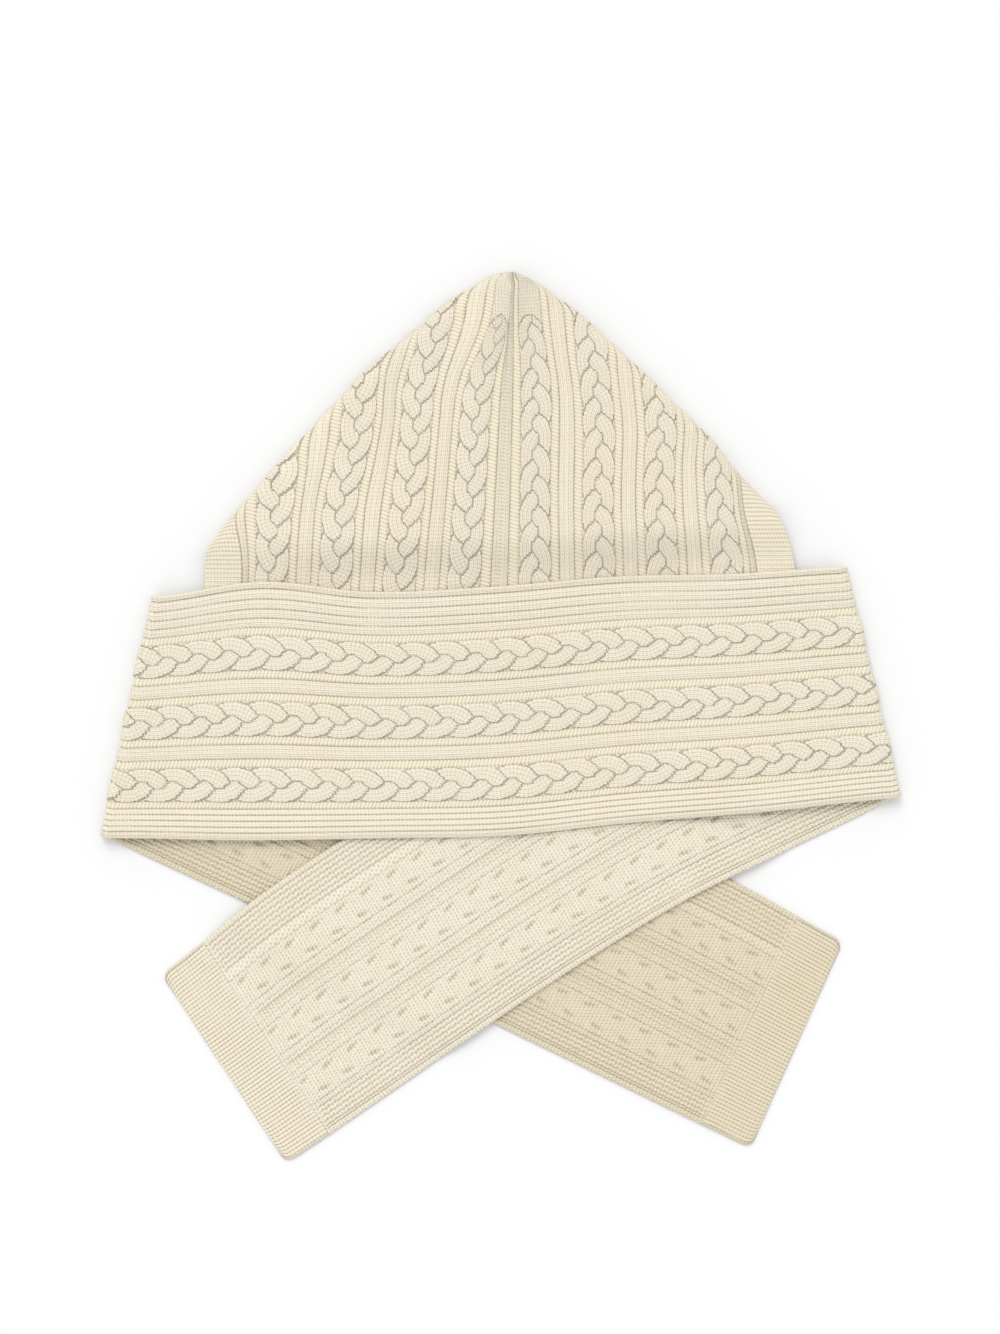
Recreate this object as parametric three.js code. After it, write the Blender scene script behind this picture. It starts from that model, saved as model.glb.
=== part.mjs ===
import * as THREE from 'three';
import { mergeGeometries, mergeVertices } from 'three/addons/utils/BufferGeometryUtils.js';

// Knitted hooded scarf, laid flat with the back of the hood up. Millimetres, +Z up.
// One long plaited strip lies across the hood's neck, turns under at a slanted fold on
// each side, and its two tails cross below it with their wrong side up.

// Thickness of the knit
const knitThickness = 4.5;
const groundThickness = 3.2;
const plaitThickness = 6;
const ribThickness = 3.4;
const ribDepth = 1;
const trimThickness = 4;
const rimThickness = 4;
const layerGap = 0.6;
const pieceGap = 0.3;

// Plaits, which all parts share
const plaitPitch = 57;
const plaitWidth = 31;

// Scarf strip
const stripWidth = 220;
const stripBorder = 20;
const edgeRoll = 4.4;
const plaitShift = -6.5;
const foldSpan = 661;
const bandTilt = 2.7;
const leftFoldSlant = 14.9;
const rightFoldSlant = 10.7;
const leftTailLength = 676;
const leftTailHeading = 31;
const rightTailLength = 667;
const rightTailHeading = 26.3;
const endRibLength = 47;
const endRibPitch = 9.2;
const crossingMargin = 14;
const crossingSlope = 34;

// Hood
const hoodHeight = 319.5;
const hoodDepth = 264;
const trimWidth = 34;
const firstPlaitFromSeam = 32;
const foldHollow = 3.75;
const hoodPuff = 16;
const puffReach = 70;
const tipRounding = 20.7;
const tipFade = 40;
const seamLean = 2.4;
const seamDent = 1.3;
const gatherReach = 45;
const neckInset = 15.5;
const neckMargin = 3.5;
const mouthRise = 60;
const bendShare = 0.6;
const fullBendAt = 4;

// Where the hood's seam meets the strip, and how far the band stands up over it
const neckX = -5.6;
const neckLift = 8;
const neckLiftReach = 110;
const neckLiftFade = 120;

// Sections of each part of the strip, evenly spaced from its start to its end. shift is
// the sideways bow of the middle line and width the width, as shares of stripWidth. slant
// turns the section: a share of the fold's slant at the end of the band that it is nearer
// to, and on a tail a share of the slant at its start.
const bandSections = [
  { shift: 0, width: 0.98, slant: 1 },
  { shift: 0.002, width: 1.055, slant: 0.4 },
  { shift: -0.038, width: 1.01, slant: 0 },
  { shift: -0.046, width: 1.02, slant: 0 },
  { shift: -0.023, width: 1.01, slant: 0 },
  { shift: -0.019, width: 0.98, slant: -0.47 },
  { shift: 0, width: 0.955, slant: -1 },
];
const leftTailSections = [
  { shift: 0.057, width: 0.965, slant: 0.57 },
  { shift: 0.098, width: 0.965, slant: 0.23 },
  { shift: 0.1, width: 0.965, slant: 0 },
  { shift: 0.078, width: 0.965, slant: 0 },
  { shift: 0.047, width: 0.97, slant: -0.11 },
  { shift: 0, width: 0.927, slant: -0.14 },
];
const rightTailSections = [
  { shift: 0, width: 0.965, slant: 0.5 },
  { shift: 0.008, width: 0.96, slant: 0 },
  { shift: 0.004, width: 0.96, slant: 0 },
  { shift: 0.006, width: 0.955, slant: 0 },
  { shift: 0.009, width: 0.955, slant: 0 },
  { shift: 0, width: 0.928, slant: 0.15 },
];

// The two halves of the hood. stretch is a share of hoodDepth, corner the height of the
// fold's outer end and neck the rise of the neck edge there, as shares of hoodHeight.
const hoodHalves = [
  { sign: -1, stretch: 0.978, gather: 0.07, corner: 0.155, neck: 0 },
  { sign: 1, stretch: 1.025, gather: 0.11, corner: 0.27, neck: 0.06 },
];

// How far the folded flanks of the hood bulge out, as shares of hoodDepth, evenly spaced
// from the tip down
const flankSections = [
  { left: 0, right: 0 },
  { left: 0.038, right: 0.011 },
  { left: 0.068, right: 0.021 },
  { left: 0.083, right: 0.011 },
  { left: 0.078, right: 0.004 },
  { left: 0.064, right: -0.032 },
  { left: 0.051, right: -0.041 },
  { left: 0.013, right: -0.003 },
  { left: 0, right: 0 },
];

const layerPitch = knitThickness + layerGap;
const bandLevel = knitThickness / 2 + 2 * layerPitch;
const hoodFoldRadius = knitThickness + foldHollow;
const tuckDepth = neckInset + neckMargin;
const tiny = 1e-9;
const knitColour = 0xe6e0d0;
const ribColour = 0xe9e3d5;

function ease(low, high, value) {
  return THREE.MathUtils.smoothstep(value, low, high);
}

// Solid with one grid for each face, whose points place(column, row, outer) puts in space
function gridBox(columns, rows, place) {
  const box = new THREE.BoxGeometry(columns, rows, 1, columns, rows, 1);
  const position = box.getAttribute('position');
  for (let k = 0; k < position.count; k += 1) {
    const column = Math.round(position.getX(k) + columns / 2);
    const row = Math.round(position.getY(k) + rows / 2);
    const point = place(column, row, position.getZ(k) > 0);
    position.setXYZ(k, point.x, point.y, point.z);
  }
  return box;
}

function withoutSides(box, leftOut) {
  const index = [];
  for (const group of box.groups) {
    if (leftOut.includes(group.materialIndex)) continue;
    for (let k = group.start; k < group.start + group.count; k += 1) index.push(box.index.getX(k));
  }
  box.setIndex(index);
  box.clearGroups();
  return box;
}

function turnedOver(geometry) {
  const index = Array.from(geometry.index.array);
  for (let k = 0; k < index.length; k += 3) {
    [index[k + 1], index[k + 2]] = [index[k + 2], index[k + 1]];
  }
  geometry.setIndex(index);
  return geometry;
}

function volumeOf(geometry) {
  const position = geometry.getAttribute('position');
  const corners = [new THREE.Vector3(), new THREE.Vector3(), new THREE.Vector3()];
  let volume = 0;
  for (let k = 0; k < geometry.index.count; k += 3) {
    corners.forEach((corner, n) => corner.fromBufferAttribute(position, geometry.index.getX(k + n)));
    volume += corners[0].dot(corners[1].clone().cross(corners[2])) / 6;
  }
  return volume;
}

// One closed body from loose faces: shared points are merged and empty faces go
function closed(parts) {
  for (const part of parts) {
    part.deleteAttribute('normal');
    part.deleteAttribute('uv');
  }
  const merged = mergeVertices(mergeGeometries(parts), 1e-3);
  const index = [];
  for (let k = 0; k < merged.index.count; k += 3) {
    const face = [0, 1, 2].map((n) => merged.index.getX(k + n));
    if (new Set(face).size === 3) index.push(...face);
  }
  merged.setIndex(index);
  return volumeOf(merged) < 0 ? turnedOver(merged) : merged;
}

function piece(name, geometry, colour) {
  const flat = geometry.toNonIndexed();
  flat.computeVertexNormals();
  const material = new THREE.MeshStandardMaterial({ color: colour, roughness: 0.95, metalness: 0 });
  const mesh = new THREE.Mesh(flat, material);
  mesh.name = name;
  return mesh;
}

// Lines across the strip, in millimetres from its middle, with the thickness there
function plaitLines(centre) {
  const shape = [
    { at: -1, rise: 0 },
    { at: -0.7, rise: 0.75 },
    { at: 0, rise: 1 },
    { at: 0.7, rise: 0.75 },
    { at: 1, rise: 0 },
  ];
  return shape.map(({ at, rise }) => ({
    at: centre + at * plaitWidth / 2,
    thickness: groundThickness + rise * (plaitThickness - groundThickness),
  }));
}

// Middles of the plaits that fit on the strip between its two borders
function plaitCentres() {
  const count = Math.floor((stripWidth - 2 * stripBorder) / plaitPitch);
  return Array.from({ length: count }, (_, k) => plaitShift + (k - (count - 1) / 2) * plaitPitch);
}

// Adds the border lines on both sides of the lines over the plaits
function withBorders(lines, thickness) {
  const edge = stripWidth / 2;
  return [
    { at: -edge, thickness: groundThickness },
    { at: edgeRoll - edge, thickness },
    ...lines,
    { at: edge - edgeRoll, thickness },
    { at: edge, thickness: groundThickness },
  ];
}

function rightSideLines() {
  const lines = [];
  for (const centre of plaitCentres()) {
    lines.push({ at: centre - plaitPitch / 2, thickness: rimThickness });
    lines.push(...plaitLines(centre));
  }
  lines.push({ at: plaitCentres().at(-1) + plaitPitch / 2, thickness: rimThickness });
  return withBorders(lines, rimThickness);
}

// On the wrong side the plaits lie level, with a shallow groove midway between them
function wrongSideLines() {
  const grooved = (knitThickness + groundThickness) / 2;
  const lines = [];
  for (const centre of plaitCentres()) {
    lines.push({ at: centre - plaitPitch / 2, thickness: grooved });
    lines.push({ at: centre - plaitWidth / 2, thickness: knitThickness });
    lines.push({ at: centre + plaitWidth / 2, thickness: knitThickness });
  }
  lines.push({ at: plaitCentres().at(-1) + plaitPitch / 2, thickness: grooved });
  return withBorders(lines, knitThickness);
}

function endRibLines() {
  const ribCount = Math.round(stripWidth / endRibPitch);
  return Array.from({ length: 2 * ribCount + 1 }, (_, k) => ({
    at: stripWidth * (k / (2 * ribCount) - 0.5),
    thickness: k % 2 === 0 ? ribThickness - ribDepth : ribThickness,
  }));
}

// Course of one part of the strip: a straight line on the floor with a table of sections,
// whose slant is in degrees by now
class Course {
  constructor(start, heading, length, sections) {
    this.start = start;
    this.along = new THREE.Vector2(Math.cos(heading), Math.sin(heading));
    this.up = new THREE.Vector2(-this.along.y, this.along.x);
    if (this.up.y < 0) this.up.negate();
    this.length = length;
    this.bow = new THREE.SplineCurve(sections.map((row) => new THREE.Vector2(row.shift, row.width)));
    this.slants = new THREE.SplineCurve(sections.map((row) => new THREE.Vector2(row.slant, 0)));
  }

  // Middle, direction to the upper edge, and length of the section at a share of the way
  section(share) {
    const { x: shift, y: width } = this.bow.getPoint(share);
    const slant = THREE.MathUtils.degToRad(this.slants.getPoint(share).x);
    const middle = this.start.clone();
    middle.addScaledVector(this.along, share * this.length);
    middle.addScaledVector(this.up, shift * stripWidth);
    const toUpper = this.up.clone().multiplyScalar(Math.cos(slant));
    toUpper.addScaledVector(this.along, Math.sin(slant));
    return { middle, toUpper, length: width * stripWidth / Math.cos(slant) };
  }

  sideways(point) {
    return point.clone().sub(this.start).dot(this.up);
  }
}

function onSection(section, at) {
  const point = section.middle.clone();
  return point.addScaledVector(section.toUpper, at / stripWidth * section.length);
}

function bandCourse() {
  const tilt = THREE.MathUtils.degToRad(bandTilt);
  const start = new THREE.Vector2(Math.cos(tilt), Math.sin(tilt)).multiplyScalar(-foldSpan / 2);
  const rows = bandSections.map((row) => {
    const fold = row.slant > 0 ? leftFoldSlant : rightFoldSlant;
    return { ...row, slant: row.slant * fold };
  });
  return new Course(start, tilt, foldSpan, rows);
}

// A tail starts on the line of its fold, so its first section is the end of the band
function tailCourse(fold, headingDegrees, length, sections) {
  const heading = THREE.MathUtils.degToRad(headingDegrees);
  const along = new THREE.Vector2(Math.cos(heading), Math.sin(heading));
  const lean = Math.asin(fold.toUpper.dot(along));
  const first = { shift: 0, width: fold.length * Math.cos(lean) / stripWidth, slant: 1 };
  const rows = [first, ...sections].map((row) => {
    return { ...row, slant: row.slant * THREE.MathUtils.radToDeg(lean) };
  });
  return new Course(fold.middle, heading, length, rows);
}

const band = bandCourse();
const leftTail = tailCourse(band.section(1), 180 + leftTailHeading, leftTailLength, leftTailSections);
const rightTail = tailCourse(band.section(0), -rightTailHeading, rightTailLength, rightTailSections);

// Height on the floor plan of the neck edge at the hood's seam, under the band's upper edge
const neckY = onSection(band.section(0.5), stripWidth / 2).y - neckInset;

// Rise of the band over the neck edge of the hood
function neckRise(x, y) {
  const across = Math.exp(-(((x - neckX) / neckLiftReach) ** 2));
  const steady = neckY - tuckDepth;
  return neckLift * across * ease(steady - neckLiftFade, steady, y);
}

// The left tail lies over the right one and comes down to the floor on both sides of it
function crossingRise(x, y) {
  const offset = Math.abs(rightTail.sideways(new THREE.Vector2(x, y)));
  const edge = stripWidth / 2 + crossingMargin;
  return layerPitch * (1 - ease(edge, edge + crossingSlope, offset));
}

const flatSteps = 22;
const turnSteps = 5;

// Band with the two folds at its ends, right side out
function scarfBand() {
  const lines = rightSideLines();
  const back = knitThickness / 2;

  function place(column, row, outer) {
    const step = column - turnSteps;
    const line = lines[row];
    if (step >= 0 && step <= flatSteps) {
      const flat = onSection(band.section(step / flatSteps), line.at);
      const level = bandLevel + neckRise(flat.x, flat.y) - back;
      return new THREE.Vector3(flat.x, flat.y, level + (outer ? line.thickness : 0));
    }
    const atStart = step < 0;
    const turned = (atStart ? -step : step - flatSteps) / turnSteps;
    const angle = Math.PI * turned;
    const section = band.section(atStart ? 0 : 1);
    const away = new THREE.Vector2(section.toUpper.y, -section.toUpper.x);
    if (atStart) away.negate();
    const pressed = Math.max(0, 2 * turned - 1);
    const thickness = THREE.MathUtils.lerp(line.thickness, knitThickness, pressed);
    const radius = layerPitch + (outer ? thickness - back : -back);
    const point = onSection(section, line.at).addScaledVector(away, radius * Math.sin(angle));
    return new THREE.Vector3(point.x, point.y, bandLevel - layerPitch + radius * Math.cos(angle));
  }

  return closed([gridBox(flatSteps + 2 * turnSteps, lines.length - 1, place)]);
}

// Stretch of a tail between two shares of its length, wrong side up
function tailStretch(course, lines, from, to, steps, rise) {
  return closed([gridBox(steps, lines.length - 1, (column, row, outer) => {
    const share = THREE.MathUtils.lerp(from, to, column / steps);
    const line = lines[row];
    const flat = onSection(course.section(share), line.at);
    const level = rise(flat.x, flat.y) + (outer ? line.thickness : 0);
    return new THREE.Vector3(flat.x, flat.y, level);
  })]);
}

const tailSteps = 21;
const tailEndSteps = 2;

function tailBody(course, rise) {
  const from = pieceGap / course.length;
  const to = 1 - (endRibLength + pieceGap) / course.length;
  return tailStretch(course, wrongSideLines(), from, to, tailSteps, rise);
}

function tailEnd(course, rise) {
  const from = 1 - endRibLength / course.length;
  return tailStretch(course, endRibLines(), from, 1, tailEndSteps, rise);
}

// Distance from the seam of the hood's column u at a height on the panel
function reach(half, u, level) {
  const gathered = half.gather * level * (1 - Math.exp(-u / gatherReach));
  return half.stretch * u - gathered;
}

function foldAngle(half) {
  const corner = half.corner * hoodHeight;
  return Math.atan2(hoodHeight - corner, reach(half, hoodDepth, corner));
}

// Height on the panel at which column u lies a given way past the fold
const levelRounds = 8;

function levelAt(half, u, past) {
  const angle = foldAngle(half);
  let level = hoodHeight;
  for (let round = 0; round < levelRounds; round += 1) {
    level = hoodHeight - (reach(half, u, level) * Math.sin(angle) - past) / Math.cos(angle);
  }
  return level;
}

// Length of the front's middle line from the tip to column u, the same for both halves
function frontLine(u) {
  const lengths = hoodHalves.map((half) => reach(half, u, hoodHeight) / Math.tan(foldAngle(half)));
  return (lengths[0] + lengths[1]) / 2;
}

const quarterTurn = hoodFoldRadius * Math.PI / 2;
const flank = new THREE.SplineCurve(flankSections.map((row) => new THREE.Vector2(row.left, row.right)));

// Way that a point of the hood moves out with the bulge of its flank
function bulge(half, side, drop) {
  const { x: left, y: right } = flank.getPoint(THREE.MathUtils.clamp(drop / hoodHeight, 0, 1));
  const ofFlank = side * Math.tan(foldAngle(half)) / Math.max(drop, tiny);
  return (half.sign < 0 ? left : right) * hoodDepth * ofFlank ** 2;
}

// Point of the hood at column u and a height on its panel. inset is the depth below the
// outer face, and past the slanted fold the panel lies underneath, on the floor.
function hoodPoint(half, u, level, inset) {
  const angle = foldAngle(half);
  const fall = hoodHeight - level;
  const across = reach(half, u, level);
  const along = across * Math.cos(angle) + fall * Math.sin(angle);
  const past = across * Math.sin(angle) - fall * Math.cos(angle);
  const target = along / Math.tan(angle);
  const limit = past > 0 ? along * Math.tan(angle) : target;
  const turn = Math.min(quarterTurn, bendShare * limit);
  const beyond = Math.min(1, Math.abs(past) / Math.max(turn, tiny));
  const raised = past < 0 ? beyond : 0;
  const depth = inset < knitThickness / 2 ? inset * raised : inset;
  const radius = hoodFoldRadius - depth;
  const bend = beyond * Math.PI / 2;
  const flatStart = Math.min(hoodFoldRadius, bendShare * target);
  let inward = flatStart * (1 - Math.cos(bend));
  if (Math.abs(past) > turn && limit > turn) {
    inward += (Math.abs(past) - turn) * (target - flatStart) / (limit - turn);
  }
  let match = 1;
  if (past > 0 && limit > 0) {
    const own = reach(half, u, hoodHeight) / Math.tan(angle);
    match += (past / limit) ** 2 * (frontLine(u) / own - 1);
  }
  const fromTip = (along * Math.sin(angle) + inward * Math.cos(angle)) * match;
  const tipShare = Math.exp(-fromTip / tipFade);
  inward += depth * (1 - tipShare) * Math.cos(bend);
  const straight = (along * Math.cos(angle) - inward * Math.sin(angle)) * match;
  const drop = (along * Math.sin(angle) + inward * Math.cos(angle)) * match;
  const side = straight + bulge(half, straight, drop);
  const tipDrop = depth * Math.SQRT2;
  const rounded = (tipDrop - depth) * Math.exp(-drop / tipRounding);
  const height = hoodHeight - Math.hypot(drop, tipRounding) - tipShare * (tipDrop - rounded);
  const x = neckX + Math.tan(THREE.MathUtils.degToRad(seamLean)) * height + half.sign * side;
  const y = neckY + height;
  const lift = radius * Math.sin(bend);
  if (past > 0) return new THREE.Vector3(x, y, hoodFoldRadius - lift);
  const backLevel = 2 * hoodFoldRadius - knitThickness / 2;
  const fromFold = inward / Math.cos(angle) / Math.SQRT2;
  const puffed = backLevel + hoodPuff * (1 - Math.exp(-((fromFold / puffReach) ** 2)));
  const tucked = bandLevel - knitThickness - pieceGap + neckRise(x, y);
  const overNeck = height - half.neck * hoodHeight * side / hoodDepth;
  const middle = THREE.MathUtils.lerp(tucked, puffed, ease(tuckDepth, mouthRise, overNeck));
  return new THREE.Vector3(x, y, hoodFoldRadius + lift + (middle - backLevel) * Math.sin(bend));
}

// Rows of the hood's grid: up the back, round the fold, and on along the front
const backRows = 9;
const bendRows = 5;
const frontRows = 4;

function rowLevel(half, u, row) {
  const bendReach = quarterTurn * Math.min(1, u / (fullBendAt * hoodFoldRadius));
  const neck = half.neck * hoodHeight * u / hoodDepth;
  const low = u > 0 ? levelAt(half, u, -bendReach) : hoodHeight;
  const high = u > 0 ? levelAt(half, u, bendReach) : hoodHeight;
  if (row === 0) return neck;
  if (row <= backRows) return THREE.MathUtils.lerp(neck + tuckDepth, low, (row - 1) / (backRows - 1));
  if (row <= backRows + bendRows) return THREE.MathUtils.lerp(low, high, (row - backRows) / bendRows);
  return THREE.MathUtils.lerp(high, hoodHeight, (row - backRows - bendRows) / frontRows);
}

function hoodColumns(edge) {
  const columns = [{ at: 0, inset: seamDent }];
  const ground = knitThickness - groundThickness;
  for (let centre = firstPlaitFromSeam; centre + plaitWidth / 2 < edge; centre += plaitPitch) {
    for (const line of plaitLines(centre)) {
      columns.push({ at: line.at, inset: knitThickness - line.thickness });
    }
    const between = Math.min(centre + plaitPitch / 2, (centre + plaitWidth / 2 + edge) / 2);
    columns.push({ at: between, inset: ground / 2 });
  }
  columns.push({ at: edge, inset: ground / 2 });
  return columns;
}

// Faces of a grid box at its first column and at its last row, where the halves meet
const firstColumnSide = 1;
const lastRowSide = 2;

function hoodShell(columns, thickness, leftOut) {
  const rows = backRows + bendRows + frontRows;
  const sides = hoodHalves.map((half) => {
    const box = gridBox(columns.length - 1, rows, (column, row, outer) => {
      const { at, inset } = columns[column];
      const level = rowLevel(half, at, row);
      const free = ease(tuckDepth, 2 * tuckDepth, level - half.neck * hoodHeight * at / hoodDepth);
      return hoodPoint(half, at, level, outer ? inset * free : thickness);
    });
    const open = withoutSides(box, leftOut);
    return half.sign < 0 ? turnedOver(open) : open;
  });
  return closed(sides);
}

function hoodPanel() {
  const columns = hoodColumns(hoodDepth - trimWidth);
  return hoodShell(columns, knitThickness, [firstColumnSide, lastRowSide]);
}

function faceTrim() {
  const inner = hoodDepth - trimWidth + pieceGap;
  const columns = [0, 0.3, 0.7, 1].map((share) => ({
    at: THREE.MathUtils.lerp(inner, hoodDepth, share),
    inset: 0,
  }));
  return hoodShell(columns, trimThickness, [lastRowSide]);
}

const level = () => 0;
const scarf = new THREE.Group();
scarf.add(piece('hood_panel', hoodPanel(), knitColour));
scarf.add(piece('face_trim', faceTrim(), ribColour));
scarf.add(piece('scarf_band', scarfBand(), knitColour));
scarf.add(piece('left_tail', tailBody(leftTail, crossingRise), knitColour));
scarf.add(piece('right_tail', tailBody(rightTail, level), knitColour));
scarf.add(piece('left_end_rib', tailEnd(leftTail, crossingRise), ribColour));
scarf.add(piece('right_end_rib', tailEnd(rightTail, level), ribColour));

// The origin is the middle of the outline on the floor
const outline = new THREE.Box3().setFromObject(scarf);
const middle = outline.getCenter(new THREE.Vector3());
scarf.position.set(-middle.x, -middle.y, -outline.min.z);

export default scarf;
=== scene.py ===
import math

import bmesh
import bpy
import numpy as np
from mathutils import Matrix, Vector


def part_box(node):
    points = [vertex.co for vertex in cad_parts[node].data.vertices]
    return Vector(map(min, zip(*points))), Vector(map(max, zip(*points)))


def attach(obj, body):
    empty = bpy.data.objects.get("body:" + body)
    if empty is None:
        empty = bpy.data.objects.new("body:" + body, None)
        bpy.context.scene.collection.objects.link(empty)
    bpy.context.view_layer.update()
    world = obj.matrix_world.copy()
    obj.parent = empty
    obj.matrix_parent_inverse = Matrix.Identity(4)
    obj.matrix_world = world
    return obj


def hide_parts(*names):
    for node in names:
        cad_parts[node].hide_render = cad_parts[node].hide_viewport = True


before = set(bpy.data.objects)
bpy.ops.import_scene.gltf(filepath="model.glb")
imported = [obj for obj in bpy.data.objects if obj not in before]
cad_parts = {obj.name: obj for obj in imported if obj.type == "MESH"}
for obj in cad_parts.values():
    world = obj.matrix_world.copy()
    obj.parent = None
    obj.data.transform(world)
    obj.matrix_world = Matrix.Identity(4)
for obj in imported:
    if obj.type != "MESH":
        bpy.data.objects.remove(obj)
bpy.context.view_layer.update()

# Knitted hooded scarf laid flat, back of the hood up. The knit is laid out in
# millimetres, with +X to the right and +Y to the top of the picture.

knit = {
    "thickness": 4.5,       # of the plain knit, from right side to wrong side
    "layerGap": 0.6,        # air between two layers that lie on each other
    "crease": 3.1,          # thickness at the bottom of the creases between the ridges
    "rowHeight": 3.4,       # of one stitch
    "plainColumn": 3.4,     # width of one stitch where no pattern shows
    "cordSlant": 0.35,      # rows by which a cord's stitches slant
    "grooveShade": 0.4,      # more painted shade in the middle of a groove
    "floorGap": 0.15,       # lowest level of the hood's underside
    "wave": 0.45,           # how far the surface waves up and down
}
layerPitch = knit["thickness"] + knit["layerGap"]

plait = {
    "repeat": 83.0,         # length in which each of the three strands comes back
    "sway": 7.9,            # sideways swing of a strand
    "half": 7.4,            # half the width of a strand
    "over": 0.45,           # rise of a strand where it crosses
    "body": 1.1,            # roundness of a strand
    "base": 4.15,
    "floor": -0.4,          # lowest level between the strands, over the base
    "columns": 4,           # stitches across one strand
    "rowShare": 1.09,       # rows along a slanted strand, for each row of the knit
    "creaseDrop": 0.22,     # step between two strands over which a crease's painted shade fades
    "rimFrom": 0.84,        # share of a strand's half where painted shade starts on its rim
    "outer": (8, 13),       # distance from the middle over which creases get their full painted shade
    "innerShare": 0.5,      # of that painted shade, between the strands in the middle
    # painted shade in the creases between the strands
    "paintedShade": 0.8,
    "shade": 0.12,          # painted shade over the whole plait
}


def smooth(low, high, value):
    t = np.clip((value - low) / (high - low), 0, 1)
    return t * t * (3 - 2 * t)


def mixed(a, b, share):
    return a + (b - a) * share


# height over a rounded edge: 0 at the edge, 1 where the rounding ends
def roundedShare(near):
    return np.sqrt(np.clip(1 - (1 - near)**2, 0, 1))


# The strip's courses, from the same tables as the part's own plan

strip = {
    "width": 220.0,
    "foldSpan": 661.0,
    "bandTilt": 2.7,
    "leftFoldSlant": 14.9,
    "rightFoldSlant": 10.7,
    "leftTailLength": 676.0,
    "leftTailHeading": 31.0,
    "rightTailLength": 667.0,
    "rightTailHeading": 26.3,
    "endRibLength": 47.0,
    "endPitch": 3.8,        # from one rib of an end to the next, rounded to fit
    "pieceGap": 0.3,
    "crossingMargin": 14.0,
    "crossingSlope": 34.0,
    "edgeRound": 3.2,       # radius of the strip's rolled edge
    "edgeLevel": 2.1,       # height of that edge over the strip's underside
    "cornerRound": 9.0,
    "endRound": 3.0,        # radius of a tail's last edge
    "endLevel": 1.8,        # height of that edge over the underside
    "endThin": 0.12,        # share of the thickness that is left there
}
# sideways bow, width, and slant as a share of the fold's
bandRows = [(0, .98, 1), (.002, 1.055, .4), (-.038, 1.01, 0), (-.046, 1.02, 0),
            (-.023, 1.01, 0), (-.019, .98, -.47), (0, .955, -1)]
leftTailRows = [(.057, .965, .57), (.098, .965, .23), (.1, .965, 0), (.078, .965, 0),
                (.047, .97, -.11), (0, .927, -.14)]
rightTailRows = [(0, .965, .5), (.008, .96, 0), (.004, .96, 0), (.006, .955, 0),
                 (.009, .955, 0), (0, .928, .15)]
bandLevel = knit["thickness"] / 2 + 2 * layerPitch
foldArc = math.pi * layerPitch


# smooth curve through evenly spaced rows
def through(rows, share):
    rows = np.asarray(rows, float)
    last = len(rows) - 1
    place = np.clip(share, 0, 1) * last
    low = np.minimum(place.astype(int), last)
    t = (place - low)[..., None]
    before, here, after, beyond = (rows[np.clip(low + k, 0, last)] for k in (-1, 0, 1, 2))
    out = (after - before) / 2
    into = (beyond - here) / 2
    return ((2 * here - 2 * after + out + into) * t**3
            + (3 * after - 3 * here - 2 * out - into) * t**2 + out * t + here)


class Course:
    def __init__(self, start, heading, length, rows):
        self.start = np.array(start, float)
        self.ahead = np.array([math.cos(heading), math.sin(heading)])
        self.up = np.array([-self.ahead[1], self.ahead[0]])
        if self.up[1] < 0:
            self.up = -self.up
        self.length = length
        self.rows = rows

    # middle, direction to the upper edge, and length of the sections at these shares
    def section(self, share):
        share = np.asarray(share, float)
        row = through(self.rows, share)
        slant = np.radians(row[..., 2])
        middle = (self.start + self.ahead * (share * self.length)[..., None]
                  + self.up * (row[..., 0] * strip["width"])[..., None])
        toUpper = self.up * np.cos(slant)[..., None] + self.ahead * np.sin(slant)[..., None]
        return middle, toUpper, row[..., 1] * strip["width"] / np.cos(slant)

    def point(self, share, at):
        middle, toUpper, length = self.section(share)
        return middle + toUpper * (at / strip["width"] * length)[..., None]

    # how far along the course a point lies, for the pattern
    def distance(self, point):
        return (point - self.start) @ self.ahead


def bandCourse():
    tilt = math.radians(strip["bandTilt"])
    start = -np.array([math.cos(tilt), math.sin(tilt)]) * strip["foldSpan"] / 2
    rows = [(shift, width, slant * strip["leftFoldSlant" if slant > 0 else "rightFoldSlant"])
            for shift, width, slant in bandRows]
    return Course(start, tilt, strip["foldSpan"], rows)


# a tail starts on the line of its fold
def tailCourse(share, heading, length, rows):
    middle, toUpper, foldLength = band.section(share)
    heading = math.radians(heading)
    ahead = np.array([math.cos(heading), math.sin(heading)])
    lean = math.asin(float(toUpper @ ahead))
    first = (0, float(foldLength) * math.cos(lean) / strip["width"], 1)
    rows = [(shift, width, slant * math.degrees(lean)) for shift, width, slant in [first, *rows]]
    return Course(middle, heading, length, rows)


band = bandCourse()
leftTail = tailCourse(1.0, 180 + strip["leftTailHeading"], strip["leftTailLength"], leftTailRows)
rightTail = tailCourse(0.0, -strip["rightTailHeading"], strip["rightTailLength"], rightTailRows)

hood = {
    "height": 319.5,
    "depth": 264.0,
    "steps": 330,           # of the grid from neck edge over the top to neck edge
    "trimWidth": 34.0,
    "foldHollow": 3.75,
    "puff": 16.0,
    "puffReach": 70.0,
    "tipRounding": 20.7,
    "tipFade": 40.0,
    "seamLean": 2.4,
    "seamDent": .7,
    "seamHalf": 1.8,        # half the width of that dent
    "seamShade": (.35, .1),  # painted shade along the seam's dent, above and below seamFades
    "seamFades": (90, 130),
    "plainPeak": (54, 62),  # way down from the tip where the first plaits begin
    "peakArch": 10,         # how much later their sides begin
    "peakThickness": 4.3,
    "crushed": (.1, .6),    # share of a column's width under which its relief goes
    "crushedThickness": 4.0,
    "seamSway": 4.0,
    "swayReach": 105.0,
    "gatherReach": 45.0,
    "neckInset": 15.5,
    "neckMargin": 3.5,
    "mouthRise": 60.0,
    "neckX": -5.6,
    "neckLift": 8.0,
    "neckLiftReach": 110.0,
    "neckLiftFade": 120.0,
}
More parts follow.
